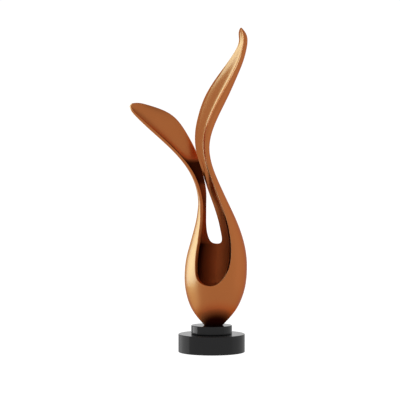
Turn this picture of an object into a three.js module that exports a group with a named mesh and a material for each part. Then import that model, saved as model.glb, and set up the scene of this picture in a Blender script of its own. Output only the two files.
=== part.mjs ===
// Satin copper bud that opens into two petals, on a round black plinth in two steps.
// Millimetres, +Z up, front towards -Y. The origin is the centre of the plinth's underside.

import * as THREE from 'three';
import { mergeVertices } from 'three/addons/utils/BufferGeometryUtils.js';

// Plinth sizes
const BASE_DIAMETER = 100;
const BASE_HEIGHT = 27;
const STEP_DIAMETER = 61.5;
const STEP_HEIGHT = 13;
const EDGE_BEVEL = 0.8;
const DISC_SIDES = 72;

// Bud sizes
const BUD_HEIGHT = 446;
const POD_WALL = 5.8;
const SOLID_FOOT = 24;

// Heights where the pod opens, as shares of the bud's height
const FRONT_OPENING = 0.137;
const BACK_OPENING = 0.271;
const PETALS_PART = 0.405;

// The pod: its centre line and radius every 45 thousandths of the bud's height
const POD_STEP = 0.045;
const POD_CENTRE = [0.0064, 0.008, 0.0102, 0.0122, 0.0142, 0.0164, 0.0186, 0.0184, 0.0148, 0.007];
const POD_RADIUS = [0.031, 0.0695, 0.0915, 0.1023, 0.1048, 0.1018, 0.0925, 0.0798, 0.0656, 0.0523];

// Edges of the openings as bearings in degrees, 0 at the front or back and positive to the right.
// The first row of each runs from the front opening's foot to the back opening's foot, the
// second from there to where the petals part.
const FRONT_SEAM = -10;
const BACK_SEAM = 1;
const LEFT_EDGES = {
  frontBelow: [FRONT_SEAM, -24.5, -36.3, -41.4, -44, -46.8],
  frontAbove: [-46.8, -46.6, -48, -50, -53.5, -61],
  back: [BACK_SEAM, -13, -22.5, -31, -37.3, -38.2],
};
const RIGHT_EDGES = {
  frontBelow: [FRONT_SEAM, 1.5, 12.2, 21.6, 27.2, 29.6],
  frontAbove: [29.6, 30.1, 30.5, 31, 31.6, 30],
  back: [BACK_SEAM, 10.5, 12.6, 10.3, 6.5, -1],
};

// Sections of the free petals in thousandths of the bud's height, from the plinth's top:
// the front edge, the belly and the back edge, each as x, y, z
const LEFT_PETAL = [
  [[-47, -20, 452], [-49, 9, 454], [-22, 39, 456]],
  [[-73, -19, 514], [-64, 17, 511], [-32, 35, 517]],
  [[-120, -20, 574], [-96, 21, 569], [-48, 31, 577]],
  [[-171, -22, 623], [-138, 26, 625], [-82, 30, 644]],
  [[-221, -21, 668], [-185, 26, 678], [-132, 29, 707]],
  [[-257, -15, 703], [-235, 17, 713], [-201, 22, 738]],
  [[-271, -8, 721], [-261, 8, 729], [-243, 12, 748]],
  [[-276, -2, 735], [-274, 2, 740], [-269, 4, 746]],
];
const RIGHT_PETAL = [
  [[10, -41, 467], [30, -8, 467], [-17, 24, 468]],
  [[-12, -34, 527], [5, -13, 528], [-36, -9, 529]],
  [[-21, -29, 587], [-7, -8, 589], [-53, -8, 589]],
  [[-19, -28, 648], [2, 0, 649], [-55, -6, 650]],
  [[1, -28, 708], [27, 6, 710], [-43, 0, 711]],
  [[31, -29, 768], [57, 8, 771], [-21, 6, 772]],
  [[64, -29, 828], [84, 3, 831], [15, 13, 832]],
  [[92, -28, 886], [107, -2, 888], [56, 18, 889]],
  [[106, -17, 940], [120, 1, 942], [88, 12, 942]],
  [[107, -11, 972], [119, 3, 973], [91, 8, 973]],
  [[103, -5, 990], [110, 4, 990], [92, 5, 990]],
  [[99, -1, 1000], [101, 1, 1000], [97, 1, 1000]],
];

// Width of the rims, and how far the hollow between them is filled: 0 keeps the wall even and 1
// gives an almost level face. Both are read evenly from where the petals part to the tip.
const LEFT_WALL = [POD_WALL, 4.4, 4.4, 3.6, 2.4];
const RIGHT_WALL = [POD_WALL, 3.6, 3, 2.6, 2.2];
const LEFT_FULLNESS = [0, 0.5, 0.9, 1, 1];
const RIGHT_FULLNESS = [0, 0.85, 1, 1, 1];

// How sharply the level face turns up beside the front rim
const FACE_CURL = 0.85;

// Fineness of the mesh
const COLUMNS = 14;
const ROWS_FOOT = 9;
const ROWS_FRONT = 8;
const ROWS_BACK = 7;
const ROWS_PER_SECTION = 3;
const GHOST_STEP = 0.04;

const LEFT = -1;
const RIGHT = 1;

// Smooth curve through evenly counted stations, each an array of numbers
function splineThrough(stations) {
  const blend = (list, i, k) => {
    const before = i > 0 ? list[i - 1][k] : 2 * list[0][k] - list[1][k];
    const last = list.length - 1;
    const after = i < last ? list[i + 1][k] : 2 * list[last][k] - list[last - 1][k];
    return (before + 4 * list[i][k] + after) / 6;
  };
  let control = stations.map((station) => [...station]);
  for (let pass = 0; pass < 14; pass += 1) {
    const now = control;
    control = now.map((p, i) => p.map((c, k) => c + stations[i][k] - blend(now, i, k)));
  }
  const last = control.length - 1;
  const at = (i, k) => {
    if (i < 0) return 2 * control[0][k] - control[1][k];
    if (i > last) return 2 * control[last][k] - control[last - 1][k];
    return control[i][k];
  };
  return (place) => {
    const i = Math.min(Math.max(Math.floor(place), 0), last - 1);
    const t = place - i;
    const weights = [
      (1 - t) ** 3 / 6,
      (3 * t ** 3 - 6 * t ** 2 + 4) / 6,
      (-3 * t ** 3 + 3 * t ** 2 + 3 * t + 1) / 6,
      t ** 3 / 6,
    ];
    return control[0].map((_, k) => weights.reduce((sum, w, j) => sum + w * at(i - 1 + j, k), 0));
  };
}

// The same for a list of single numbers
function curve(values) {
  const through = splineThrough(values.map((value) => [value]));
  return (place) => through(place)[0];
}

const podCentre = curve(POD_CENTRE);
const podRadius = curve(POD_RADIUS);

// One section of the pod at a height share, cut by two edge bearings
function podSection(height, side, frontBearing, backBearing, wall, radius) {
  const centre = podCentre(height / POD_STEP) * BUD_HEIGHT;
  const r = radius ?? podRadius(height / POD_STEP) * BUD_HEIGHT;
  const z = height * BUD_HEIGHT;
  const front = THREE.MathUtils.degToRad(frontBearing);
  const back = THREE.MathUtils.degToRad(backBearing);
  return {
    front: new THREE.Vector3(centre + r * Math.sin(front), -r * Math.cos(front), z),
    belly: new THREE.Vector3(centre + side * r, 0, z),
    back: new THREE.Vector3(centre + r * Math.sin(back), r * Math.cos(back), z),
    wall,
    fullness: 0,
  };
}

// Sections below the front opening, where the pod is a closed ring
function footSections(side) {
  const sections = [];
  for (let i = 0; i < ROWS_FOOT; i += 1) {
    const height = FRONT_OPENING * i / ROWS_FOOT;
    sections.push(podSection(height, side, FRONT_SEAM, BACK_SEAM, POD_WALL));
  }
  return sections;
}

// Sections of the bowl that closes the hollow above the solid foot
function bowlSections(side) {
  const rim = podRadius(FRONT_OPENING / POD_STEP) * BUD_HEIGHT - POD_WALL;
  const depth = FRONT_OPENING - SOLID_FOOT / BUD_HEIGHT;
  const sections = [];
  for (let i = ROWS_FOOT - 1; i > 0; i -= 1) {
    const turn = 0.5 * Math.PI * i / ROWS_FOOT;
    const height = FRONT_OPENING - depth * Math.sin(turn);
    const radius = rim * Math.cos(turn);
    sections.push(podSection(height, side, FRONT_SEAM, BACK_SEAM, 0, radius));
  }
  return sections;
}

// Sections of the pod beside its openings. They crowd at each opening's foot, which rounds it.
function openingSections(side, edges) {
  const frontBelow = curve(edges.frontBelow);
  const frontAbove = curve(edges.frontAbove);
  const back = curve(edges.back);
  const sections = [];
  for (let i = 0; i < ROWS_FRONT; i += 1) {
    const t = i / ROWS_FRONT;
    const height = THREE.MathUtils.lerp(FRONT_OPENING, BACK_OPENING, t * t);
    sections.push(podSection(height, side, frontBelow(5 * t), BACK_SEAM, POD_WALL));
  }
  for (let i = 0; i < ROWS_BACK; i += 1) {
    const t = i / ROWS_BACK;
    const height = THREE.MathUtils.lerp(BACK_OPENING, PETALS_PART, t * t);
    sections.push(podSection(height, side, frontAbove(5 * t), back(5 * t), POD_WALL));
  }
  return sections;
}

// Sections of one free petal. Three sections of the pod below it carry its lines on smoothly.
function petalSections(side, edges, petal, walls, fullness) {
  const frontAbove = curve(edges.frontAbove);
  const back = curve(edges.back);
  const lead = [2, 1, 0].map((steps) => {
    const height = PETALS_PART - steps * GHOST_STEP;
    const t = Math.sqrt((height - BACK_OPENING) / (PETALS_PART - BACK_OPENING));
    return podSection(height, side, frontAbove(5 * t), back(5 * t), POD_WALL);
  });
  const [front, belly, rear] = ['front', 'belly', 'back'].map((line, k) => splineThrough([
    ...lead.map((section) => section[line].toArray()),
    ...petal.map((section) => section[k].map((share) => share * BUD_HEIGHT / 1000)),
  ]));
  const wall = curve(walls);
  const filled = curve(fullness);
  const sections = [];
  const count = petal.length * ROWS_PER_SECTION;
  for (let i = 0; i <= count; i += 1) {
    const place = lead.length - 1 + i / ROWS_PER_SECTION;
    sections.push({
      front: new THREE.Vector3(...front(place)),
      belly: new THREE.Vector3(...belly(place)),
      back: new THREE.Vector3(...rear(place)),
      wall: wall(4 * i / count),
      fullness: filled(4 * i / count),
    });
  }
  return sections;
}

// Outside and lining of a section. The outside is the arc from the front edge through the belly
// to the back edge. The lining runs between points one wall nearer the arc's centre: as the
// concentric arc, or with fullness as a face that is sunk beside the front rim.
function sectionPoints({ front, belly, back, wall, fullness }) {
  const toBelly = belly.clone().sub(front);
  const toBack = back.clone().sub(front);
  const axis = toBelly.clone().cross(toBack);
  const centre = axis.clone().cross(toBelly).multiplyScalar(toBack.lengthSq());
  centre.add(toBack.clone().cross(axis).multiplyScalar(toBelly.lengthSq()));
  centre.divideScalar(2 * axis.lengthSq()).add(front);
  axis.normalize();
  const spoke = front.clone().sub(centre);
  const end = back.clone().sub(centre);
  const turn = 2 * Math.PI;
  const sweep = (Math.atan2(end.dot(axis.clone().cross(spoke)), end.dot(spoke)) + turn) % turn;
  const inward = Math.min(wall, 0.85 * spoke.length()) / spoke.length();
  const innerFront = front.clone().lerp(centre, inward);
  const across = back.clone().lerp(centre, inward).sub(innerFront);
  const sunk = across.clone().cross(axis).multiplyScalar(FACE_CURL);
  const outer = [];
  const inner = [];
  for (let i = 0; i <= COLUMNS; i += 1) {
    const u = i / COLUMNS;
    const point = spoke.clone().applyAxisAngle(axis, sweep * u).add(centre);
    const face = innerFront.clone().addScaledVector(across, u).addScaledVector(sunk, u * (1 - u) ** 3);
    outer.push(point);
    inner.push(point.clone().lerp(centre, inward).lerp(face, fullness));
  }
  return { outer, inner };
}

// Corner points of the triangles over a grid of points
function sheet(grid, flipped) {
  const corners = [];
  for (let row = 0; row + 1 < grid.length; row += 1) {
    for (let column = 0; column + 1 < grid[row].length; column += 1) {
      const a = grid[row][column];
      const b = grid[row][column + 1];
      const c = grid[row + 1][column + 1];
      const d = grid[row + 1][column];
      corners.push(...(flipped ? [a, c, b, a, d, c] : [a, b, c, a, c, d]));
    }
  }
  return corners;
}

// One closed body from corner points: seams are welded and flat triangles left out
function closedGeometry(corners) {
  const soup = new THREE.BufferGeometry().setFromPoints(corners);
  const welded = mergeVertices(soup, 1e-4);
  const index = [];
  for (let i = 0; i < welded.index.count; i += 3) {
    const [a, b, c] = [0, 1, 2].map((k) => welded.index.getX(i + k));
    if (a !== b && b !== c && c !== a) index.push(a, b, c);
  }
  welded.setIndex(index);
  welded.computeVertexNormals();
  return welded;
}

// One half of the bud: skin, lining, rims and tip from the foot to the end of its petal
function halfBud(side, edges, petal, walls, fullness) {
  const flat = (point) => Array(COLUMNS + 1).fill(point);
  const foot = footSections(side).map(sectionPoints);
  const open = [
    ...openingSections(side, edges),
    ...petalSections(side, edges, petal, walls, fullness),
  ].map(sectionPoints);
  const bowl = bowlSections(side).map(sectionPoints);
  const footCentre = new THREE.Vector3(podCentre(0) * BUD_HEIGHT, 0, 0);
  const floorShare = SOLID_FOOT / BUD_HEIGHT;
  const floorCentre = new THREE.Vector3(podCentre(floorShare / POD_STEP) * BUD_HEIGHT, 0, SOLID_FOOT);
  const skin = [flat(footCentre), ...foot.map((row) => row.outer), ...open.map((row) => row.outer)];
  const lining = [flat(floorCentre), ...bowl.map((row) => row.outer), ...open.map((row) => row.inner)];
  const frontRim = open.map((row) => [row.outer[0], row.inner[0]]);
  const backRim = open.slice(ROWS_FRONT).map((row) => [row.outer[COLUMNS], row.inner[COLUMNS]]);
  const tip = open[open.length - 1];
  const isLeft = side === LEFT;
  return [
    ...sheet(skin, isLeft),
    ...sheet(lining, !isLeft),
    ...sheet(frontRim, !isLeft),
    ...sheet(backRim, isLeft),
    ...sheet([tip.outer, tip.inner], isLeft),
  ];
}

function makeBud() {
  return closedGeometry([
    ...halfBud(LEFT, LEFT_EDGES, LEFT_PETAL, LEFT_WALL, LEFT_FULLNESS),
    ...halfBud(RIGHT, RIGHT_EDGES, RIGHT_PETAL, RIGHT_WALL, RIGHT_FULLNESS),
  ]);
}

// A disc that stands on z = 0, with a small bevel round both edges
function makeDisc(diameter, height) {
  const radius = diameter / 2;
  const profile = [
    [0, 0],
    [radius - EDGE_BEVEL, 0],
    [radius, EDGE_BEVEL],
    [radius, height - EDGE_BEVEL],
    [radius - EDGE_BEVEL, height],
    [0, height],
  ].map(([x, y]) => new THREE.Vector2(x, y));
  const turned = new THREE.LatheGeometry(profile, DISC_SIDES).rotateX(Math.PI / 2);
  const corners = turned.toNonIndexed().getAttribute('position');
  const points = [];
  for (let i = 0; i < corners.count; i += 1) {
    points.push(new THREE.Vector3().fromBufferAttribute(corners, i));
  }
  return closedGeometry(points);
}

const copper = new THREE.MeshStandardMaterial({ color: 0xb07045, roughness: 0.34, metalness: 0.95 });
const blackSatin = new THREE.MeshStandardMaterial({ color: 0x1c1c1d, roughness: 0.38, metalness: 0.1 });

function named(name, geometry, material, height) {
  const mesh = new THREE.Mesh(geometry, material.clone());
  mesh.name = name;
  mesh.position.z = height;
  return mesh;
}

const group = new THREE.Group();
group.name = 'two_petal_sculpture';
group.add(
  named('plinth_base', makeDisc(BASE_DIAMETER, BASE_HEIGHT), blackSatin, 0),
  named('plinth_step', makeDisc(STEP_DIAMETER, STEP_HEIGHT), blackSatin, BASE_HEIGHT),
  named('bud_with_petals', makeBud(), copper, BASE_HEIGHT + STEP_HEIGHT),
);

export default group;
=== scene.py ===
"""Satin copper bud that opens into two petals, on a stepped black plinth: the finished look.

Metres, +Z up, front towards -Y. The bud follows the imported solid's own lines, drawn finer and
with rounded rims, and the two plinth discs are turned again with smooth edges.
"""

import logging
import math
from dataclasses import dataclass, fields
from enum import Enum

import bpy
import numpy as np
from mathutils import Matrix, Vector


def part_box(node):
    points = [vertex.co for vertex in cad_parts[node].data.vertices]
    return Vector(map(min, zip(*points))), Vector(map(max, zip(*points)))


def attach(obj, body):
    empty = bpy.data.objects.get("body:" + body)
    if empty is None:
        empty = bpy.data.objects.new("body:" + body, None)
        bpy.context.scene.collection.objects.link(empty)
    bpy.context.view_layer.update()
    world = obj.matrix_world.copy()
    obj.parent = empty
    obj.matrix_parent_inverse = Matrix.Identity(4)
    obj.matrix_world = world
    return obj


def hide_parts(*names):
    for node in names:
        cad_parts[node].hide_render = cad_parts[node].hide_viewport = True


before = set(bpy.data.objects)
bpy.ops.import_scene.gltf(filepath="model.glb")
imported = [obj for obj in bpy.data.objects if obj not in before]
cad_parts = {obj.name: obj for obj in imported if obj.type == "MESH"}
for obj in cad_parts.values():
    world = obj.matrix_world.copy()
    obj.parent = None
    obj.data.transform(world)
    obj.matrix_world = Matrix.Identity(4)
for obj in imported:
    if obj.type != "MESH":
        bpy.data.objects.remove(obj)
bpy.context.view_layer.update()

LOG = logging.getLogger("sculpture")
THOUSANDTH = 0.001
MILLIMETRE = 0.001
WHITE = (1.0, 1.0, 1.0)
NOISE_MIDDLE = 0.5
SPLINE_ROUNDS = 14
PAINTED_SHADE_ATTRIBUTE = "painted_shade"
COPPER_BUD = "copper_bud"


class Side(Enum):
    """Which petal a half of the bud grows into, as seen from the front."""

    LEFT = -1
    RIGHT = 1


Colour = tuple | bpy.types.NodeSocket

# Shader maths


class Signal:
    """A shader socket that carries a number, with arithmetic that adds Math nodes."""

    def __init__(self, board: "ShaderBoard", socket: bpy.types.NodeSocket) -> None:
        """Wrap an output socket.

        Args:
            board: The node board that the socket is on.
            socket: The output socket.
        """
        self.board = board
        self.socket = socket

    def _math(self, operation: str, first: "Signal | float", second: "Signal | float") -> "Signal":
        """Add one Math node.

        Args:
            operation: The node's operation.
            first: Its first number.
            second: Its second number.

        Returns:
            The result as a signal.
        """
        node = self.board.node("ShaderNodeMath", {"operation": operation}, {0: first, 1: second})
        return Signal(self.board, node.outputs[0])

    def __add__(self, other: "Signal | float") -> "Signal":
        """Sum."""
        return self._math("ADD", self, other)

    def __radd__(self, other: float) -> "Signal":
        """Sum with a number in front."""
        return self._math("ADD", other, self)

    def __sub__(self, other: "Signal | float") -> "Signal":
        """Difference."""
        return self._math("SUBTRACT", self, other)

    def __rsub__(self, other: float) -> "Signal":
        """Difference from a number."""
        return self._math("SUBTRACT", other, self)

    def __mul__(self, other: "Signal | float") -> "Signal":
        """Product."""
        return self._math("MULTIPLY", self, other)

    def __rmul__(self, other: float) -> "Signal":
        """Product with a number in front."""
        return self._math("MULTIPLY", other, self)

    def swing(self, size: float) -> "Signal":
        """A noise as a change about nothing, half of size either way."""
        return (self - NOISE_MIDDLE) * size


class ShaderBoard:
    """The node tree of one material or world, with one method that adds any node."""

    NOISE_ROUGHNESS = 0.55
    MIX_SHARE, MIX_FIRST, MIX_SECOND, MIX_RESULT = 0, 6, 7, 2

    def __init__(self, tree: bpy.types.NodeTree) -> None:
        """Clear the tree.

        Args:
            tree: The node tree to build in.
        """
        self.tree = tree
        tree.nodes.clear()

    def node(self, kind: str, settings: dict | None = None, inputs: dict | None = None) -> bpy.types.Node:
        """Add a node.

        Args:
            kind: The node's type name.
            settings: Properties set first; "stops" fills a colour ramp with (place, colour) pairs.
            inputs: Values, sockets or signals by socket name or number.

        Returns:
            The new node.
        """
        node = self.tree.nodes.new(kind)
        for name, value in (settings or {}).items():
            if name == "stops":
                self._fill_ramp(node.color_ramp, value)
            else:
                setattr(node, name, value)
        for name, value in (inputs or {}).items():
            socket = node.inputs[name]
            if isinstance(value, Signal):
                value = value.socket
            if isinstance(value, bpy.types.NodeSocket):
                self.tree.links.new(value, socket)
            else:
                socket.default_value = value
        return node

    @staticmethod
    def _fill_ramp(ramp: bpy.types.ColorRamp, stops: list) -> None:
        """Give a colour ramp its stops.

        Args:
            ramp: The ramp.
            stops: Pairs of place and RGBA colour, in order.
        """
        while len(ramp.elements) < len(stops):
            ramp.elements.new(1.0)
        for element, (place, colour) in zip(ramp.elements, stops):
            element.position = place
            element.color = colour

    def noise(self, scale: float, detail: float, stretch: tuple = (1.0, 1.0, 1.0)) -> Signal:
        """Add object-space noise.

        Args:
            scale: Waves per metre, roughly.
            detail: Octaves.
            stretch: Scale of the pattern along X, Y and Z.

        Returns:
            The noise, about 0 to 1.
        """
        place = self.node("ShaderNodeTexCoord")
        mapped = self.node("ShaderNodeMapping", None, {"Vector": place.outputs["Object"], "Scale": stretch})
        texture = self.node(
            "ShaderNodeTexNoise",
            {"noise_dimensions": "3D"},
            {
                "Vector": mapped.outputs["Vector"],
                "Scale": scale,
                "Detail": detail,
                "Roughness": self.NOISE_ROUGHNESS,
            },
        )
        return Signal(self, texture.outputs[0])

    def attribute(self, name: str) -> Signal:
        """Read a number stored on the mesh.

        Args:
            name: The attribute's name.

        Returns:
            Its value as a signal.
        """
        return Signal(self, self.node("ShaderNodeAttribute", {"attribute_name": name}).outputs["Fac"])

    def limited(self, value: Signal) -> Signal:
        """Keep a number between 0 and 1."""
        return Signal(self, self.node("ShaderNodeClamp", None, {"Value": value}).outputs[0])

    def tint(self, share: Signal, first: Colour, second: Colour) -> bpy.types.NodeSocket:
        """Mix two colours.

        Args:
            share: 0 for the first colour, 1 for the second.
            first: RGB or a colour socket.
            second: RGB or a colour socket.

        Returns:
            The colour socket.
        """
        ends = [(*colour, 1.0) if isinstance(colour, tuple) else colour for colour in (first, second)]
        mix = self.node(
            "ShaderNodeMix",
            {"data_type": "RGBA", "clamp_factor": True},
            {self.MIX_SHARE: share, self.MIX_FIRST: ends[0], self.MIX_SECOND: ends[1]},
        )
        return mix.outputs[self.MIX_RESULT]

    def finish_surface(self, inputs: dict, bump: Signal, bump_height: float) -> None:
        """End a material with a Principled surface and a faint bump.

        Args:
            inputs: Socket values of the Principled node.
            bump: The height pattern.
            bump_height: Its depth in metres.
        """
        relief = self.node("ShaderNodeBump", None, {"Height": bump, "Distance": bump_height, "Strength": 1.0})
        surface = self.node("ShaderNodeBsdfPrincipled", None, {**inputs, "Normal": relief.outputs["Normal"]})
        self.node("ShaderNodeOutputMaterial", None, {"Surface": surface.outputs["BSDF"]})


def new_board(name: str) -> tuple[bpy.types.Material, ShaderBoard]:
    """Make an empty node material.

    Args:
        name: The material's name.

    Returns:
        The material and its board.
    """
    material = bpy.data.materials.new(name)
    material.use_nodes = True
    return material, ShaderBoard(material.node_tree)


# Finishes


@dataclass(frozen=True)
class SatinCopper:
    """Copper bronze polished to a satin and sealed with a thin clear lacquer.

    The mesh's painted shade, which stands for the shadow in the hollow, in its creases and on the foot,
    darkens it in two steps: from 0 to 0.5 the bare metal turns to a red-brown shade colour, and from
    0.5 to 1 that turns to a painted near-black shade, which is no metal. The surface grows rougher
    with it, and the lacquer is taken off first. A noise is given as its waves per metre, its octaves and how
    it is stretched.
    """

    deep: tuple = (0.75, 0.230, 0.060)
    warm: tuple = (0.83, 0.262, 0.070)
    shade_brown: tuple = (0.82, 0.205, 0.058)
    shade_black: tuple = (0.03, 0.003, 0.001)
    grazing_tint: tuple = (0.70, 0.30, 0.14, 1.0)
    metal_roughness: float = 0.38
    shade_roughness: float = 0.3
    lacquer: float = 0.4
    lacquer_cut_in_shade: float = 2.5
    lacquer_roughness: float = 0.22
    lacquer_tint: tuple = (1.0, 0.98, 0.92, 1.0)
    drift_noise: tuple = (14.0, 2.0)
    drift_share: float = 0.7
    cloud_noise: tuple = (60.0, 3.0)
    cloud_gloss: float = 0.06
    grain_noise: tuple = (900.0, 2.0, (1.0, 1.0, 0.35))
    grain_gloss: float = 0.03
    grain_depth: float = 0.000004

    def material(self) -> bpy.types.Material:
        """Build the material.

        Returns:
            A metal whose tone and gloss drift slowly, with very fine polishing grain.
        """
        material, board = new_board("satin_copper")
        drift = board.noise(*self.drift_noise)
        cloud = board.noise(*self.cloud_noise)
        grain = board.noise(*self.grain_noise)
        tone = drift * self.drift_share + cloud * (1 - self.drift_share)
        # Painted shade read from the mesh: red-brown, then near black, where the hollow, creases and foot lie
        # in shadow.
        painted_shade = board.attribute(PAINTED_SHADE_ATTRIBUTE)
        bare = board.tint(tone, self.deep, self.warm)
        dark = board.limited(painted_shade * 2.0 - 1.0)
        brown = board.tint(board.limited(painted_shade * 2.0), bare, self.shade_brown)
        roughness = self.metal_roughness + painted_shade * self.shade_roughness
        board.finish_surface(
            {
                "Base Color": board.tint(dark, brown, self.shade_black),
                "Metallic": 1.0 - dark,
                "Roughness": roughness + cloud.swing(self.cloud_gloss) + grain.swing(self.grain_gloss),
                "Specular Tint": self.grazing_tint,
                "Specular IOR Level": 0.0,
                "Coat Weight": self.lacquer * board.limited(1.0 - painted_shade * self.lacquer_cut_in_shade),
                "Coat Roughness": self.lacquer_roughness,
                "Coat Tint": self.lacquer_tint,
            },
            grain,
            self.grain_depth,
        )
        return material


@dataclass(frozen=True)
class SatinBlack:
    """Black stone honed to a satin, with the faintest mottle.

    A noise is given as its waves per metre and its octaves.
    """

    dark: tuple = (0.010, 0.010, 0.011)
    pale: tuple = (0.018, 0.018, 0.019)
    roughness: float = 0.12
    crystal_noise: tuple = (700.0, 4.0)
    crystal_share: float = 0.6
    cloud_noise: tuple = (45.0, 2.0)
    cloud_gloss: float = 0.08
    grain_depth: float = 0.000002

    def material(self) -> bpy.types.Material:
        """Build the material.

        Returns:
            A near-black surface with fine crystals and a soft sheen.
        """
        material, board = new_board("satin_black")
        crystals = board.noise(*self.crystal_noise)
        cloud = board.noise(*self.cloud_noise)
        mottle = crystals * self.crystal_share + cloud * (1 - self.crystal_share)
        board.finish_surface(
            {
                "Base Color": board.tint(mottle, self.dark, self.pale),
                "Metallic": 0.0,
                "Roughness": self.roughness + cloud.swing(self.cloud_gloss),
                "Specular IOR Level": 0.5,
            },
            crystals,
            self.grain_depth,
        )
        return material


# Curves and surfaces


def spline_controls(stations: np.ndarray) -> np.ndarray:
    """Control points of a cubic B-spline that passes through evenly counted stations.

    The spline passes (before + 4 * here + after) / 6 at each control. The controls start as the
    stations and move by what the spline misses there, SPLINE_ROUNDS times, after which next to
    nothing is missed. Both ends run on straight.

    Args:
        stations: Array of stations along axis 0.

    Returns:
        The controls, with one more before the first and after the last.
    """
    controls = stations.astype(float)
    for _ in range(SPLINE_ROUNDS):
        padded = with_straight_ends(controls)
        controls = controls + stations - (padded[:-2] + 4 * controls + padded[2:]) / 6
    return with_straight_ends(controls)


def with_straight_ends(points: np.ndarray) -> np.ndarray:
    """Points with one more at each end, as far on as the last step.

    Args:
        points: Array of points along axis 0.

    Returns:
        The longer array.
    """
    before = 2 * points[:1] - points[1:2]
    after = 2 * points[-1:] - points[-2:-1]
    return np.concatenate([before, points, after])


def spline_through(stations: np.ndarray, places: np.ndarray) -> np.ndarray:
    """Smooth curve through stations.

    At place i + t the value is the sum of four neighbouring controls, weighted by the cubic
    B-spline's (1 - t)^3 / 6, (3t^3 - 6t^2 + 4) / 6, (-3t^3 + 3t^2 + 3t + 1) / 6 and t^3 / 6.

    Args:
        stations: Numbers or points along axis 0.
        places: Where to read the curve, counted in stations.

    Returns:
        The values, one for each place.
    """
    stations = np.asarray(stations, float)
    controls = spline_controls(stations)
    places = np.asarray(places, float)
    start = np.clip(np.floor(places).astype(int), 0, len(stations) - 2)
    t = places - start
    weights = (
        (1 - t) ** 3 / 6,
        (3 * t**3 - 6 * t**2 + 4) / 6,
        (-3 * t**3 + 3 * t**2 + 3 * t + 1) / 6,
        t**3 / 6,
    )
    shape = places.shape + (1,) * (controls.ndim - 1)
    return sum(weight.reshape(shape) * controls[start + k] for k, weight in enumerate(weights))


@dataclass
class Arcs:
    """A stack of circular arcs, each about an axis through a centre from a spoke over a sweep."""

    centre: np.ndarray
    spoke: np.ndarray
    axis: np.ndarray
    sweep: np.ndarray

    @classmethod
    def through(cls, first: np.ndarray, middle: np.ndarray, last: np.ndarray) -> "Arcs":
        """Arcs through three points each.

        With u and w the ways from the first point to the other two and n = u x w, the centre
        lies (n x u * w.w + w x n * u.u) / (2 n.n) from the first point.

        Args:
            first: Where each arc starts.
            middle: A point on each arc.
            last: Where each arc ends.

        Returns:
            The arcs.
        """
        to_middle = middle - first
        to_last = last - first
        axis = np.cross(to_middle, to_last)
        size = (axis**2).sum(1, keepdims=True)
        offset = np.cross(axis, to_middle) * (to_last**2).sum(1, keepdims=True)
        offset += np.cross(to_last, axis) * (to_middle**2).sum(1, keepdims=True)
        centre = first + offset / (2 * size)
        axis = axis / np.sqrt(size)
        spoke = first - centre
        end = last - centre
        sweep = np.arctan2((end * np.cross(axis, spoke)).sum(1), (end * spoke).sum(1)) % (2 * math.pi)
        return cls(centre, spoke, axis, sweep)

    @property
    def radius(self) -> np.ndarray:
        """Radius of each arc."""
        return np.linalg.norm(self.spoke, axis=1)

    def points(self, shares: np.ndarray) -> np.ndarray:
        """Points at shares of each sweep: centre + cos(a) * spoke + sin(a) * (axis x spoke).

        Args:
            shares: One row of shares for each arc.

        Returns:
            Array of arcs, shares and 3.
        """
        turn = (shares * self.sweep[:, None])[..., None]
        across = np.cross(self.axis, self.spoke)
        return self.centre[:, None] + np.cos(turn) * self.spoke[:, None] + np.sin(turn) * across[:, None]


@dataclass
class Sections:
    """A stack of sections, each with its outside on the arc from a front edge to a back edge.

    The arc passes the belly. The wall is the width of the two rims, and the fullness says how far
    the hollow between them is filled: 0 leaves the same wall all round, 1 an almost level face.
    """

    front: np.ndarray
    belly: np.ndarray
    back: np.ndarray
    wall: np.ndarray
    fullness: np.ndarray
    CURL = 0.85
    CROWDING = 1.4
    THICKEST = 0.85

    def __add__(self, other: "Sections") -> "Sections":
        """Put another stack on top."""
        pairs = ((getattr(self, field.name), getattr(other, field.name)) for field in fields(self))
        return Sections(*(np.concatenate(pair) for pair in pairs))

    def lining(self, outside: Arcs, shares: np.ndarray) -> np.ndarray:
        """The hollow's side of each section.

        It runs between the rims' inner edges, one wall nearer the outside's centre but at most
        THICKEST of the radius: as the concentric arc, or with fullness as a face that is sunk by
        CURL * u * (1 - u)^3 of its width at u of the way, so that it turns up sharply only beside
        the front rim.

        Args:
            outside: The arcs of the outside.
            shares: One row of shares of the way across for each section.

        Returns:
            Array of sections, shares and 3.
        """
        inward = (np.minimum(self.wall, self.THICKEST * outside.radius) / outside.radius)[:, None]
        front = self.front + (outside.centre - self.front) * inward
        across = self.back + (outside.centre - self.back) * inward - front
        u = shares[..., None]
        sunk = np.cross(across, outside.axis)[:, None] * (self.CURL * u * (1 - u) ** 3)
        face = front[:, None] + across[:, None] * u + sunk
        centre = outside.centre[:, None]
        even = centre + (outside.points(shares) - centre) * (1 - inward[..., None])
        return even + (face - even) * self.fullness[:, None, None]

    def surfaces(self, columns: int, border: float) -> tuple[np.ndarray, np.ndarray]:
        """Skin and lining as grids of points.

        Between the two borders the steps crowd towards the front edge: step i of n ends at
        (i / n)^CROWDING of the way.

        Args:
            columns: Steps along each arc.
            border: Width of the first and last step, in metres.

        Returns:
            Two arrays of rows, columns + 1 and 3.
        """
        outside = Arcs.through(self.front, self.belly, self.back)
        edge = np.minimum(border / (outside.radius * outside.sweep), 1.0 / columns)[:, None]
        steps = np.linspace(0.0, 1.0, columns - 1)[None, :] ** self.CROWDING
        shares = np.concatenate([0 * edge, edge + (1 - 2 * edge) * steps, np.ones_like(edge)], axis=1)
        return outside.points(shares), self.lining(outside, shares)


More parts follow.
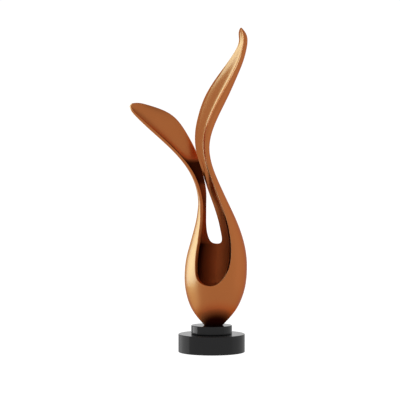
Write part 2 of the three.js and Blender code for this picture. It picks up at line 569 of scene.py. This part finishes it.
class SkinBuilder:
    """Collects grids of points and welds them into one mesh."""

    WELD = 1e-7

    def __init__(self) -> None:
        """Start empty."""
        self.points: list[np.ndarray] = []
        self.shades: list[np.ndarray] = []
        self.quads: list[np.ndarray] = []
        self.triangles: list[np.ndarray] = []
        self.count = 0

    def add_grid(self, grid: np.ndarray, flipped: bool, shade: np.ndarray | None = None) -> None:
        """Add the faces between the rows and columns of a grid.

        Args:
            grid: Points as rows, columns and 3.
            flipped: True to turn the faces over.
            shade: Painted shade of each point, 0 for none, or None for no painted shade all over.
        """
        rows, columns = grid.shape[:2]
        number = np.arange(rows * columns).reshape(rows, columns) + self.count
        corners = [number[:-1, :-1], number[:-1, 1:], number[1:, 1:], number[1:, :-1]]
        if flipped:
            corners.reverse()
        self.points.append(grid.reshape(-1, 3))
        self.shades.append(np.zeros(rows * columns) if shade is None else shade.reshape(-1))
        self.quads.append(np.stack(corners, axis=-1).reshape(-1, 4))
        self.count += rows * columns

    def add_fan(self, centre: np.ndarray, ring: np.ndarray, flipped: bool, shade: float = 0.0) -> None:
        """Add triangles from a centre to a row of points.

        Args:
            centre: The point that all the triangles share.
            ring: The row of points.
            flipped: True to turn the faces over.
            shade: Painted shade of the points.
        """
        number = np.arange(len(ring)) + self.count
        hub = np.full(len(ring) - 1, self.count + len(ring))
        corners = [hub, number[1:], number[:-1]]
        if flipped:
            corners.reverse()
        self.points += [ring, np.asarray(centre, float)[None, :]]
        self.shades.append(np.full(len(ring) + 1, shade))
        self.triangles.append(np.stack(corners, axis=-1))
        self.count += len(ring) + 1

    def mesh(self, name: str) -> bpy.types.Mesh:
        """Weld equal points and write the mesh.

        Args:
            name: The mesh's name.

        Returns:
            A smooth-shaded mesh.
        """
        points = np.concatenate(self.points)
        _, first, same = np.unique(
            np.round(points / self.WELD).astype(np.int64), axis=0, return_index=True, return_inverse=True
        )
        same = same.reshape(-1)
        faces = [same[block].tolist() for block in self.quads + self.triangles]
        mesh = bpy.data.meshes.new(name)
        mesh.from_pydata(points[first].tolist(), [], [face for block in faces for face in block])
        mesh.update()
        mesh.polygons.foreach_set("use_smooth", np.ones(len(mesh.polygons), bool))
        # Painted shade of each point, read by the copper's material.
        painted_shade = mesh.attributes.new(PAINTED_SHADE_ATTRIBUTE, "FLOAT", "POINT")
        painted_shade.data.foreach_set("value", np.concatenate(self.shades)[first].astype(np.float32))
        return mesh


def place_piece(
    name: str, mesh: bpy.types.Mesh, material: bpy.types.Material, node: str
) -> bpy.types.Object:
    """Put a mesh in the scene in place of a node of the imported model.

    Args:
        name: The piece's name.
        mesh: Its mesh, already in place.
        material: Its finish.
        node: The node that it stands for.

    Returns:
        The new object.
    """
    piece = bpy.data.objects.new(name, mesh)
    bpy.context.scene.collection.objects.link(piece)
    mesh.materials.append(material)
    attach(piece, "root")
    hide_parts(node)
    return piece


# The bud and its petals

LEFT_SECTIONS = (
    ((-47, -20, 452), (-49, 9, 454), (-22, 39, 456)),
    ((-73, -19, 514), (-64, 17, 511), (-32, 35, 517)),
    ((-120, -20, 574), (-96, 21, 569), (-48, 31, 577)),
    ((-171, -22, 623), (-138, 26, 625), (-82, 30, 644)),
    ((-221, -21, 668), (-185, 26, 678), (-132, 29, 707)),
    ((-257, -15, 703), (-235, 17, 713), (-201, 22, 738)),
    ((-271, -8, 721), (-261, 8, 729), (-243, 12, 748)),
    ((-276, -2, 735), (-274, 2, 740), (-269, 4, 746)),
)
RIGHT_SECTIONS = (
    ((10, -41, 467), (30, -8, 467), (-17, 24, 468)),
    ((-12, -34, 527), (5, -13, 528), (-36, -9, 529)),
    ((-21, -29, 587), (-7, -8, 589), (-53, -8, 589)),
    ((-19, -28, 648), (2, 0, 649), (-55, -6, 650)),
    ((1, -28, 708), (27, 6, 710), (-43, 0, 711)),
    ((31, -29, 768), (57, 8, 771), (-21, 6, 772)),
    ((64, -29, 828), (84, 3, 831), (15, 13, 832)),
    ((92, -28, 886), (107, -2, 888), (56, 18, 889)),
    ((106, -17, 940), (120, 1, 942), (88, 12, 942)),
    ((107, -11, 972), (119, 3, 973), (91, 8, 973)),
    ((103, -5, 990), (110, 4, 990), (92, 5, 990)),
    ((99, -1, 1000), (101, 1, 1000), (97, 1, 1000)),
)
# Painted shade in each hollow, in steps up the bud: all over, beside the front rim, and how far across.
LEFT_PAINTED_SHADE = (
    (0.5, 6.0, 1), (0.5, 1.6, 0.9), (0.55, 1.2, 0.9), (0.78, 1.2, 1), (0.78, 1.2, 0.9),
    (1.9, 1.2, 0.8), (0.15, 1.2, 0.5), (0, 1.0, 0.4), (0, 0.5, 0.35), (0, 0.1, 0.3), (0, 0, 0.3),
)
RIGHT_PAINTED_SHADE = (
    (0.5, 1, 0.2), (0.5, 0.8, 0.2), (0.2, 0.6, 0.2), (0.05, 0.3, 0.2),
    (0, 0.5, 0.2), (0, 1.2, 0.3), (0, 0, 0.2), (0, 0, 0.2), (0, 0, 0.2),
)


@dataclass(frozen=True)
class Petal:
    """One half of the bud: the edges of its openings and the sections of its free petal.

    The edges are bearings in degrees, 0 at the front or the back and positive to the right. The
    sections give front edge, belly and back edge in thousandths of the bud's height. Fullness and
    walls, the latter in millimetres, are read evenly from where the petals part to the tip.

    Painted shade, which stands for the shadow in the hollow and its creases, is given at even
    steps of the bud's height from the back opening's foot. In the hollow it is how much lies all
    over, how much more lies beside the front rim, and how far across that reaches. A value over 1
    gives the dark part a sharper edge. The rim's painted shade is that on the cut face beside the front
    opening.
    """

    side: Side
    fullness: tuple
    walls: tuple
    painted_shade: tuple
    rim_painted_shade: tuple
    front_below: tuple
    front_above: tuple
    back: tuple
    sections: tuple


LEFT_PETAL = Petal(
    Side.LEFT,
    fullness=(0, 0.5, 0.9, 1.0, 1.0),
    walls=(5.8, 4.4, 4.4, 3.6, 2.4),
    painted_shade=LEFT_PAINTED_SHADE,
    rim_painted_shade=(0,) * len(LEFT_PAINTED_SHADE),
    front_below=(-10, -24.5, -36.3, -41.4, -44, -46.8),
    front_above=(-46.8, -46.6, -48, -50, -53.5, -61),
    back=(1, -13, -22.5, -31, -37.3, -38.2),
    sections=LEFT_SECTIONS,
)
RIGHT_PETAL = Petal(
    Side.RIGHT,
    fullness=(0, 0.85, 1.0, 1.0, 1.0),
    walls=(5.8, 3.6, 3.0, 2.6, 2.2),
    painted_shade=RIGHT_PAINTED_SHADE,
    # Painted shade on the right rim's cut face beside the opening.
    rim_painted_shade=(1.0, 1.0, 0.9, 0.4, 0.3, 0.95, 0, 0, 0),
    front_below=(-10, 1.5, 12.2, 21.6, 27.2, 29.6),
    front_above=(29.6, 30.1, 30.5, 31, 31.6, 30),
    back=(1, 10.5, 12.6, 10.3, 6.5, -1),
    sections=RIGHT_SECTIONS,
)


@dataclass
class BudWithPetals:
    """The hollow pod and its two petals, one casting.

    The openings, the steps and margins in height and the pod's radii and offsets are shares of
    the bud's height. The seams, where the two halves meet in front and behind, are bearings in
    degrees. Painted shade on the foot, standing for its shadow and the plinth's dark reflection,
    ends at its top height and fades over its fade height below it.
    """

    foot_level: float
    height: float = 446 * MILLIMETRE
    pod_wall: float = 5.8 * MILLIMETRE
    solid_foot: float = 24 * MILLIMETRE
    rim_rounding: float = 0.9 * MILLIMETRE
    rim_lines: tuple = (0.0, 0.15, 0.85, 1.0)
    # Painted shade and painted reflection of the plinth on the foot, then the steps of the painted shade in
    # the hollow.
    painted_shade_top: float = 45 * MILLIMETRE
    painted_shade_fade: float = 34 * MILLIMETRE
    painted_shade_lean: tuple = (0.10, -0.34)
    patina_step: float = 0.05
    painted_shade_fade_power: float = 1.5
    pod_floor_painted_shade: float = 0.6
    darkest: float = 0.97
    front_opening: float = 0.137
    back_opening: float = 0.271
    petals_part: float = 0.405
    pod_step: float = 0.045
    pod_centre: tuple = (0.0064, 0.008, 0.0102, 0.0122, 0.0142, 0.0164, 0.0186, 0.0184, 0.0148, 0.007)
    pod_radius: tuple = (0.031, 0.0695, 0.0915, 0.1023, 0.1048, 0.1018, 0.0925, 0.0798, 0.0656, 0.0523)
    front_seam: float = -10.0
    back_seam: float = 1.0
    columns: int = 32
    rows_foot: int = 24
    rows_front: int = 28
    rows_back: int = 24
    rows_per_section: int = 8
    foot_ease: float = 0.5
    foot_hold: float = 0.0012
    foot_border: float = 0.96
    lead_step: float = 0.04
    lead_count: int = 2
    edge_margin: float = 0.001
    subdivision: int = 1

    def centre_at(self, shares: np.ndarray) -> np.ndarray:
        """Offset of the pod's centre line to the right, in metres, at height shares."""
        return spline_through(self.pod_centre, shares / self.pod_step) * self.height

    def radius_at(self, shares: np.ndarray) -> np.ndarray:
        """Radius of the pod in metres at height shares."""
        return spline_through(self.pod_radius, shares / self.pod_step) * self.height

    def share_at(self, points: np.ndarray) -> np.ndarray:
        """Heights of points above the foot, as shares of the bud's height."""
        return (points[..., 2] - self.foot_level) / self.height

    def pod_sections(
        self,
        shares: np.ndarray,
        side: Side,
        front: np.ndarray,
        back: np.ndarray,
        radius: np.ndarray | None = None,
    ) -> Sections:
        """Level sections of the round pod, cut by two edge bearings.

        Args:
            shares: Heights as shares of the bud's height.
            side: Which half.
            front: Bearings of the front edge, in degrees.
            back: Bearings of the back edge, in degrees.
            radius: Radii in metres, or None for the pod's own.

        Returns:
            The sections, one pod wall thick.
        """
        shares = np.asarray(shares, float)
        centre = self.centre_at(shares)
        radius = self.radius_at(shares) if radius is None else radius
        level = self.foot_level + shares * self.height
        front = np.radians(np.broadcast_to(front, shares.shape))
        back = np.radians(np.broadcast_to(back, shares.shape))
        return Sections(
            np.stack([centre + radius * np.sin(front), -radius * np.cos(front), level], axis=1),
            np.stack([centre + side.value * radius, 0 * radius, level], axis=1),
            np.stack([centre + radius * np.sin(back), radius * np.cos(back), level], axis=1),
            np.full(len(shares), self.pod_wall),
            np.zeros(len(shares)),
        )

    def foot_sections(self, side: Side) -> Sections:
        """Closed rings below the front opening, with one close above the foot's edge.

        At t of the rings a height is (1 + foot_ease) * t - foot_ease * t^2 of the way.

        Args:
            side: Which half.

        Returns:
            The sections from the foot up, closer together towards the opening.
        """
        t = np.arange(self.rows_foot) / self.rows_foot
        shares = self.front_opening * t * (1 + self.foot_ease - self.foot_ease * t)
        shares = np.concatenate([shares[:1], [self.foot_hold], shares[1:]])
        return self.pod_sections(shares, side, self.front_seam, self.back_seam)

    def bowl_sections(self, side: Side) -> Sections:
        """Rings of the bowl that closes the hollow, a quarter ellipse turned round.

        At an angle a the radius is rim * cos(a), and the ring lies depth * sin(a) below the rim.

        Args:
            side: Which half.

        Returns:
            The sections from above the bowl's deepest point to below the opening.
        """
        rim = self.radius_at(np.array([self.front_opening]))[0] - self.pod_wall
        depth = self.front_opening - self.solid_foot / self.height
        turn = 0.5 * math.pi * np.arange(self.rows_foot - 1, 0, -1) / self.rows_foot
        shares = self.front_opening - depth * np.sin(turn)
        return self.pod_sections(shares, side, self.front_seam, self.back_seam, rim * np.cos(turn))

    def opening_sections(self, petal: Petal) -> Sections:
        """Sections beside the two openings, crowded at the foot of each.

        Beside the front opening alone the rise at t of the rows is t^2 * (3 - 2 * t).

        Args:
            petal: Which half.

        Returns:
            The sections from the front opening's foot to where the petals part.
        """
        t = np.arange(self.rows_front) / self.rows_front
        rise = t**2 * (3 - 2 * t)
        below = self.pod_sections(
            self.front_opening + (self.back_opening - self.front_opening) * rise,
            petal.side,
            spline_through(petal.front_below, (len(petal.front_below) - 1) * np.sqrt(rise)),
            self.back_seam,
        )
        return below + self.sections_above(petal, np.arange(self.rows_back) / self.rows_back)

    def sections_above(self, petal: Petal, t: np.ndarray) -> Sections:
        """Sections above the back opening's foot, t^2 of the way up to where the petals part.

        Args:
            petal: Which half.
            t: Square roots of the shares of the way.

        Returns:
            The sections.
        """
        return self.pod_sections(
            self.back_opening + (self.petals_part - self.back_opening) * t**2,
            petal.side,
            spline_through(petal.front_above, (len(petal.front_above) - 1) * t),
            spline_through(petal.back, (len(petal.back) - 1) * t),
        )

    def petal_sections(self, petal: Petal) -> Sections:
        """Sections of a free petal: three splines through its stations.

        The pod's own edges lead in, read lead_count steps below where the petals part, one step
        below and there.

        Args:
            petal: Which half.

        Returns:
            The sections from where the petals part to the tip.
        """
        below = self.petals_part - self.lead_step * np.arange(self.lead_count, -1, -1)
        risen = (below - self.back_opening) / (self.petals_part - self.back_opening)
        lead = self.sections_above(petal, np.sqrt(risen))
        stations = np.array(petal.sections) * THOUSANDTH * self.height + (0, 0, self.foot_level)
        count = len(petal.sections) * self.rows_per_section
        places = self.lead_count + np.arange(count + 1) / self.rows_per_section
        lines = [
            spline_through(np.concatenate([start, stations[:, k]]), places)
            for k, start in enumerate((lead.front, lead.belly, lead.back))
        ]
        grown = (len(petal.walls) - 1) * np.arange(count + 1) / count
        walls = spline_through(petal.walls, grown) * MILLIMETRE
        return Sections(*lines, walls, spline_through(petal.fullness, grown))

    def add_half(self, skin: SkinBuilder, petal: Petal) -> None:
        """Add one half: skin, lining, rims, tip, foot and the hollow's floor.

        A rim is the straight way from the skin's edge to the lining's, with a line of points at
        each of rim_lines of the way.

        Args:
            skin: Where the faces go.
            petal: Which half.
        """
        left = petal.side is Side.LEFT
        shape = (self.columns, self.rim_rounding)
        foot, _ = self.foot_sections(petal.side).surfaces(*shape)
        bowl, _ = self.bowl_sections(petal.side).surfaces(*shape)
        outer, inner = (self.opening_sections(petal) + self.petal_sections(petal)).surfaces(*shape)
        outside = np.concatenate([foot, outer])
        # Painted shade and painted reflection of the plinth low on the foot.
        skin.add_grid(outside, left, self.foot_painted_shade(outside))
        hollow = np.concatenate([bowl, inner])
        # Painted shade in the hollow and its crease.
        skin.add_grid(hollow, not left, self.hollow_painted_shade(petal, hollow))
        lines = np.array(self.rim_lines)
        shell = outer[None] + (inner - outer)[None] * lines[:, None, None, None]
        # Painted shade on the front rim's cut face.
        rim = self.rim_shade(petal, outer[:, 0])[:, None] * (lines > 0)
        skin.add_grid(shell[:, :, 0].transpose(1, 0, 2), not left, rim)
        skin.add_grid(shell[:, self.rows_front :, -1].transpose(1, 0, 2), left)
        skin.add_grid(shell[:, -1], left)
        centre = np.array([self.centre_at(np.zeros(1))[0], 0.0, self.foot_level])
        border = centre + (foot[0] - centre) * self.foot_border
        skin.add_grid(np.stack([border, foot[0]]), left)
        # The foot's underside is painted in full shade.
        skin.add_fan(centre, border, left, 1.0)
        floor = self.solid_foot / self.height
        deepest = np.array([self.centre_at(np.array([floor]))[0], 0.0, self.foot_level + self.solid_foot])
        # The hollow's floor is painted in full shade.
        skin.add_fan(deepest, bowl[0], not left, 1.0)

    def foot_painted_shade(self, points: np.ndarray) -> np.ndarray:
        """Patina left on the outside of the foot, fading upwards as a smooth step.

        It reaches less far up at the sides, least on the lit left: with a and b the two values of its
        lean, the top is scaled by 1 + a * l + b * l^2, where l is the sideways share of the way from the
        axis.

        Args:
            points: Grid of points.

        Returns:
            The patina of each point.
        """
        height = points[..., 2] - self.foot_level
        aside = points[..., 0] - self.centre_at(height / self.height)
        lean = aside / np.hypot(aside, points[..., 1])
        top = self.painted_shade_top * (1 + self.painted_shade_lean[0] * lean + self.painted_shade_lean[1] * lean**2)
        t = np.clip((top - height) / self.painted_shade_fade, 0.0, 1.0)
        return t * t * (3 - 2 * t)

    def painted_shade_place(self, petal: Petal, points: np.ndarray) -> np.ndarray:
        """Where points lie among a petal's painted shade values, counted in values.

        Args:
            petal: Which half.
            points: Points along any axes.

        Returns:
            The place of each point.
        """
        above = self.share_at(points) - self.back_opening
        return np.clip(above / self.patina_step, 0.0, len(petal.painted_shade) - 1.0)

    def rim_shade(self, petal: Petal, points: np.ndarray) -> np.ndarray:
        """Painted shade on the front rim's cut face, which grows from nothing at the opening's foot.

        Args:
            petal: Which half.
            points: Points along the rim.

        Returns:
            The painted shade of each point.
        """
        risen = self.share_at(points) - self.front_opening
        full = spline_through(petal.rim_painted_shade, self.painted_shade_place(petal, points))
        return np.clip(full * np.clip(risen / self.patina_step, 0.0, 1.0), 0.0, 1.0)

    def hollow_painted_shade(self, petal: Petal, points: np.ndarray) -> np.ndarray:
        """Patina left in the hollow.

        What lies all over, at most darkest, is joined by what lies beside the front rim, at a
        share u of the way across times (1 - u / reach) raised to the fade power, and by the painted
        shade of the pod's floor. Each covers its share of what is still unshaded.
        Once there is an opening the outermost columns are rim: the front one takes the rim's
        painted shade and the back one stays without painted shade.

        Args:
            petal: Which half.
            points: Grid of points of the lining, the front edge first.

        Returns:
            The patina of each point.
        """
        share = self.share_at(points)
        place = self.painted_shade_place(petal, points)
        overall, beside_rim, reach = np.moveaxis(spline_through(petal.painted_shade, place), -1, 0)
        across = np.linspace(0.0, 1.0, points.shape[1])[None, :] ** Sections.CROWDING
        overall = np.clip(overall, 0.0, self.darkest)
        fade = np.clip(1 - across / reach, 0.0, 1.0) ** self.painted_shade_fade_power
        painted_shade = overall + (1 - overall) * beside_rim * fade
        # Painted shade on the pod's floor, deep in the hollow.
        deep = np.clip((self.front_opening - share) / self.patina_step, 0.0, 1.0)
        painted_shade = painted_shade + (1 - painted_shade) * self.pod_floor_painted_shade * deep
        open_rows = share[:, 0] > self.front_opening - self.edge_margin
        painted_shade[open_rows, 0] = self.rim_shade(petal, points[open_rows, 0])
        painted_shade[share[:, -1] > self.back_opening + self.edge_margin, -1] = 0.0
        return np.clip(painted_shade, 0.0, 1.0)

    def build(self, material: bpy.types.Material) -> bpy.types.Object:
        """Make the piece.

        Args:
            material: Its finish.

        Returns:
            The piece, smoothed by a subdivision surface.
        """
        skin = SkinBuilder()
        self.add_half(skin, LEFT_PETAL)
        self.add_half(skin, RIGHT_PETAL)
        piece = place_piece(COPPER_BUD, skin.mesh(COPPER_BUD), material, "bud_with_petals")
        smooth = piece.modifiers.new("smooth", "SUBSURF")
        smooth.levels = smooth.render_levels = self.subdivision
        return piece


# The plinth


@dataclass
class TurnedDisc:
    """One disc of the plinth, turned with a small rounded edge top and bottom."""

    node: str
    edge: float = 0.9 * MILLIMETRE
    edge_points: int = 7
    hold: float = 0.4 * MILLIMETRE
    inner_ring: float = 0.3
    sides: int = 240

    def profile(self, radius: float, low: float, high: float) -> np.ndarray:
        """Outline from a ring on the underside, round the edge, to a ring on the top.

        The two rings lie at inner_ring of the radius. The corners are quarter circles,
        radius - edge + edge * sin(a) out and edge * (1 - cos(a)) up. A line one hold away on each
        side of them keeps the shading of the flats level.

        Args:
            radius: The disc's radius.
            low: Height of the underside.
            high: Height of the top.

        Returns:
            Points as distance from the axis and height.
        """
        turn = np.linspace(0.0, 0.5 * math.pi, self.edge_points)
        out = radius - self.edge + self.edge * np.sin(turn)
        up = self.edge * (1 - np.cos(turn))
        rise = np.stack([out, low + up], axis=1)
        fall = np.stack([out[::-1], high - up[::-1]], axis=1)
        inset = self.edge + self.hold
        ring = self.inner_ring * radius
        return np.concatenate(
            [
                [[ring, low], [radius - inset, low]],
                rise,
                [[radius, low + inset], [radius, high - inset]],
                fall,
                [[radius - inset, high], [ring, high]],
            ]
        )

    def build(self, material: bpy.types.Material) -> bpy.types.Object:
        """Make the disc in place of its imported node.

        The outline's points, r out and z up, turn round the axis: (x + r * cos(a),
        y + r * sin(a), z).

        Args:
            material: Its finish.

        Returns:
            The piece.
        """
        lowest, highest = (np.array(corner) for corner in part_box(self.node))
        radius = 0.5 * (highest[0] - lowest[0])
        axis = 0.5 * (lowest + highest)
        outline = self.profile(radius, lowest[2], highest[2])
        turn = np.linspace(0.0, 2 * math.pi, self.sides + 1)
        turn[-1] = 0.0
        level = np.broadcast_to(outline[:, 1:], (len(outline), len(turn)))
        grid = np.stack(
            [axis[0] + outline[:, :1] * np.cos(turn), axis[1] + outline[:, :1] * np.sin(turn), level], axis=2
        )
        skin = SkinBuilder()
        skin.add_grid(grid, False)
        skin.add_fan(np.array([axis[0], axis[1], lowest[2]]), grid[0], False)
        skin.add_fan(np.array([axis[0], axis[1], highest[2]]), grid[-1], True)
        name = self.node.replace("plinth_", "black_")
        return place_piece(name, skin.mesh(name), material, self.node)


# The studio


@dataclass(frozen=True)
class SoftBox:
    """An upright rectangular lamp that faces the sculpture's axis at its own height.

    Its surface is as bright as brightness says, whatever its size. Where lit names a piece, the
    lamp lights that piece only.
    """

    name: str
    place: tuple
    width: float
    height: float
    brightness: float
    colour: tuple = WHITE
    lit: str | None = None

    def build(self) -> None:
        """Hang the lamp."""
        lamp = bpy.data.lights.new(self.name, "AREA")
        lamp.shape = "RECTANGLE"
        lamp.size = self.width
        lamp.size_y = self.height
        lamp.energy = self.brightness * math.pi * self.width * self.height
        lamp.color = self.colour
        box = bpy.data.objects.new(self.name, lamp)
        bpy.context.scene.collection.objects.link(box)
        box.location = self.place
        box.visible_camera = False
        if self.lit:
            receivers = bpy.data.collections.new(self.name)
            receivers.objects.link(bpy.data.objects[self.lit])
            box.light_linking.receiver_collection = receivers
        away = Vector((*self.place[:2], 0.0))
        box.rotation_euler = away.to_track_quat("Z", "Y").to_euler()


@dataclass
class Studio:
    """White floor and backdrop, soft lamps and the camera.

    The room is lit alike from all sides, but dims overhead, as room_shades says for the
    direction's Z, and is brighter straight behind, where its Y passes back_wall. The tinted boxes
    light the copper only, which turns their reflections cream. Each disc of the plinth has one
    white box of its own.
    """

    room_light: float = 0.46
    room_shades: tuple = ((0.0, (*WHITE, 1)), (0.72, (*WHITE, 1)), (0.95, (0.25, 0.25, 0.25, 1)))
    back_wall: float = 0.85
    back_wall_edge: float = 8.0
    back_light: float = 0.3
    backdrop: float = 1.05
    floor_reach: float = 40.0
    floor_colour: tuple = (0.2, 0.2, 0.2, 1.0)
    floor_roughness: float = 0.9
    camera_place: tuple = (-0.0174, -1.9, 0.2275)
    camera_lens: float = 114.0
    camera_sensor: float = 36.0
    lamps: tuple = (
        SoftBox(
            "cool_high_softbox", (-0.471, 0.167, 0.635), 0.50, 0.59, 2.8, (0.34, 1.0, 1.75), COPPER_BUD
        ),
        SoftBox("cool_softbox", (-0.487, 0.117, 0.185), 0.60, 0.31, 2.7, (0.34, 1.04, 1.95), COPPER_BUD),
        SoftBox("cool_low_softbox", (-0.487, 0.117, -0.14), 0.60, 0.34, 0.5, (0.5, 1.0, 1.1), COPPER_BUD),
        SoftBox("plinth_low_softbox", (-0.475, 0.155, -0.14), 0.52, 0.34, 0.5, WHITE, "black_base"),
        SoftBox("right_softbox", (0.485, 0.121, 0.30), 0.62, 0.80, 0.07),
        SoftBox("step_softbox", (-0.475, 0.155, -0.14), 0.40, 0.34, 1.6, WHITE, "black_step"),
    )

    def build_room(self) -> None:
        """Light the room evenly, and show the camera a white backdrop."""
        world = bpy.data.worlds.new("studio")
        bpy.context.scene.world = world
        world.use_nodes = True
        board = ShaderBoard(world.node_tree)
        path = board.node("ShaderNodeLightPath")
        place = board.node("ShaderNodeTexCoord")
        parts = board.node("ShaderNodeSeparateXYZ", None, {"Vector": place.outputs["Generated"]})
        along = Signal(board, parts.outputs["Y"])
        behind = board.limited((along - self.back_wall) * self.back_wall_edge)
        walls = board.node("ShaderNodeValToRGB", {"stops": self.room_shades}, {"Fac": parts.outputs["Z"]})
        room = board.node(
            "ShaderNodeBackground",
            None,
            {"Color": walls.outputs["Color"], "Strength": self.room_light + behind * self.back_light},
        )
        white = board.node("ShaderNodeBackground", None, {"Color": (*WHITE, 1), "Strength": self.backdrop})
        mix = board.node(
            "ShaderNodeMixShader",
            None,
            {0: path.outputs["Is Camera Ray"], 1: room.outputs[0], 2: white.outputs[0]},
        )
        board.node("ShaderNodeOutputWorld", None, {"Surface": mix.outputs[0]})

    def build_floor(self) -> None:
        """Lay a plain pale floor that lamps and reflections pass by."""
        reach = self.floor_reach
        corners = [(-reach, -reach, 0), (reach, -reach, 0), (reach, reach, 0), (-reach, reach, 0)]
        mesh = bpy.data.meshes.new("pale_floor")
        mesh.from_pydata(corners, [], [(0, 1, 2, 3)])
        floor = bpy.data.objects.new("pale_floor", mesh)
        bpy.context.scene.collection.objects.link(floor)
        material, board = new_board("pale_floor")
        surface = board.node(
            "ShaderNodeBsdfPrincipled",
            None,
            {
                "Base Color": self.floor_colour,
                "Roughness": self.floor_roughness,
                "Specular IOR Level": 0.0,
                "Emission Color": (*WHITE, 1.0),
                "Emission Strength": self.backdrop,
            },
        )
        board.node("ShaderNodeOutputMaterial", None, {"Surface": surface.outputs["BSDF"]})
        mesh.materials.append(material)
        floor.visible_glossy = False
        floor.visible_diffuse = False
        floor.visible_shadow = False

    def build_camera(self) -> None:
        """Set up the camera that looks level along +Y."""
        lens = bpy.data.cameras.new("camera")
        lens.lens = self.camera_lens
        lens.sensor_width = self.camera_sensor
        camera = bpy.data.objects.new("camera", lens)
        bpy.context.scene.collection.objects.link(camera)
        camera.location = self.camera_place
        camera.rotation_euler = (math.radians(90), 0.0, 0.0)
        bpy.context.scene.camera = camera

    def build(self) -> None:
        """Build the whole studio."""
        self.build_room()
        self.build_floor()
        for lamp in self.lamps:
            lamp.build()
        self.build_camera()
        bpy.context.scene.view_settings.view_transform = "Standard"


def main() -> None:
    """Build the sculpture and the studio."""
    logging.basicConfig(level=logging.INFO, format="%(name)s: %(message)s")
    copper = SatinCopper().material()
    black = SatinBlack().material()
    bud = BudWithPetals(foot_level=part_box("bud_with_petals")[0][2])
    pieces = [
        TurnedDisc("plinth_base").build(black),
        TurnedDisc("plinth_step").build(black),
        bud.build(copper),
    ]
    for piece in pieces:
        LOG.info("%s: %d faces", piece.name, len(piece.data.polygons))
    Studio().build()


if __name__ == "__main__":
    main()
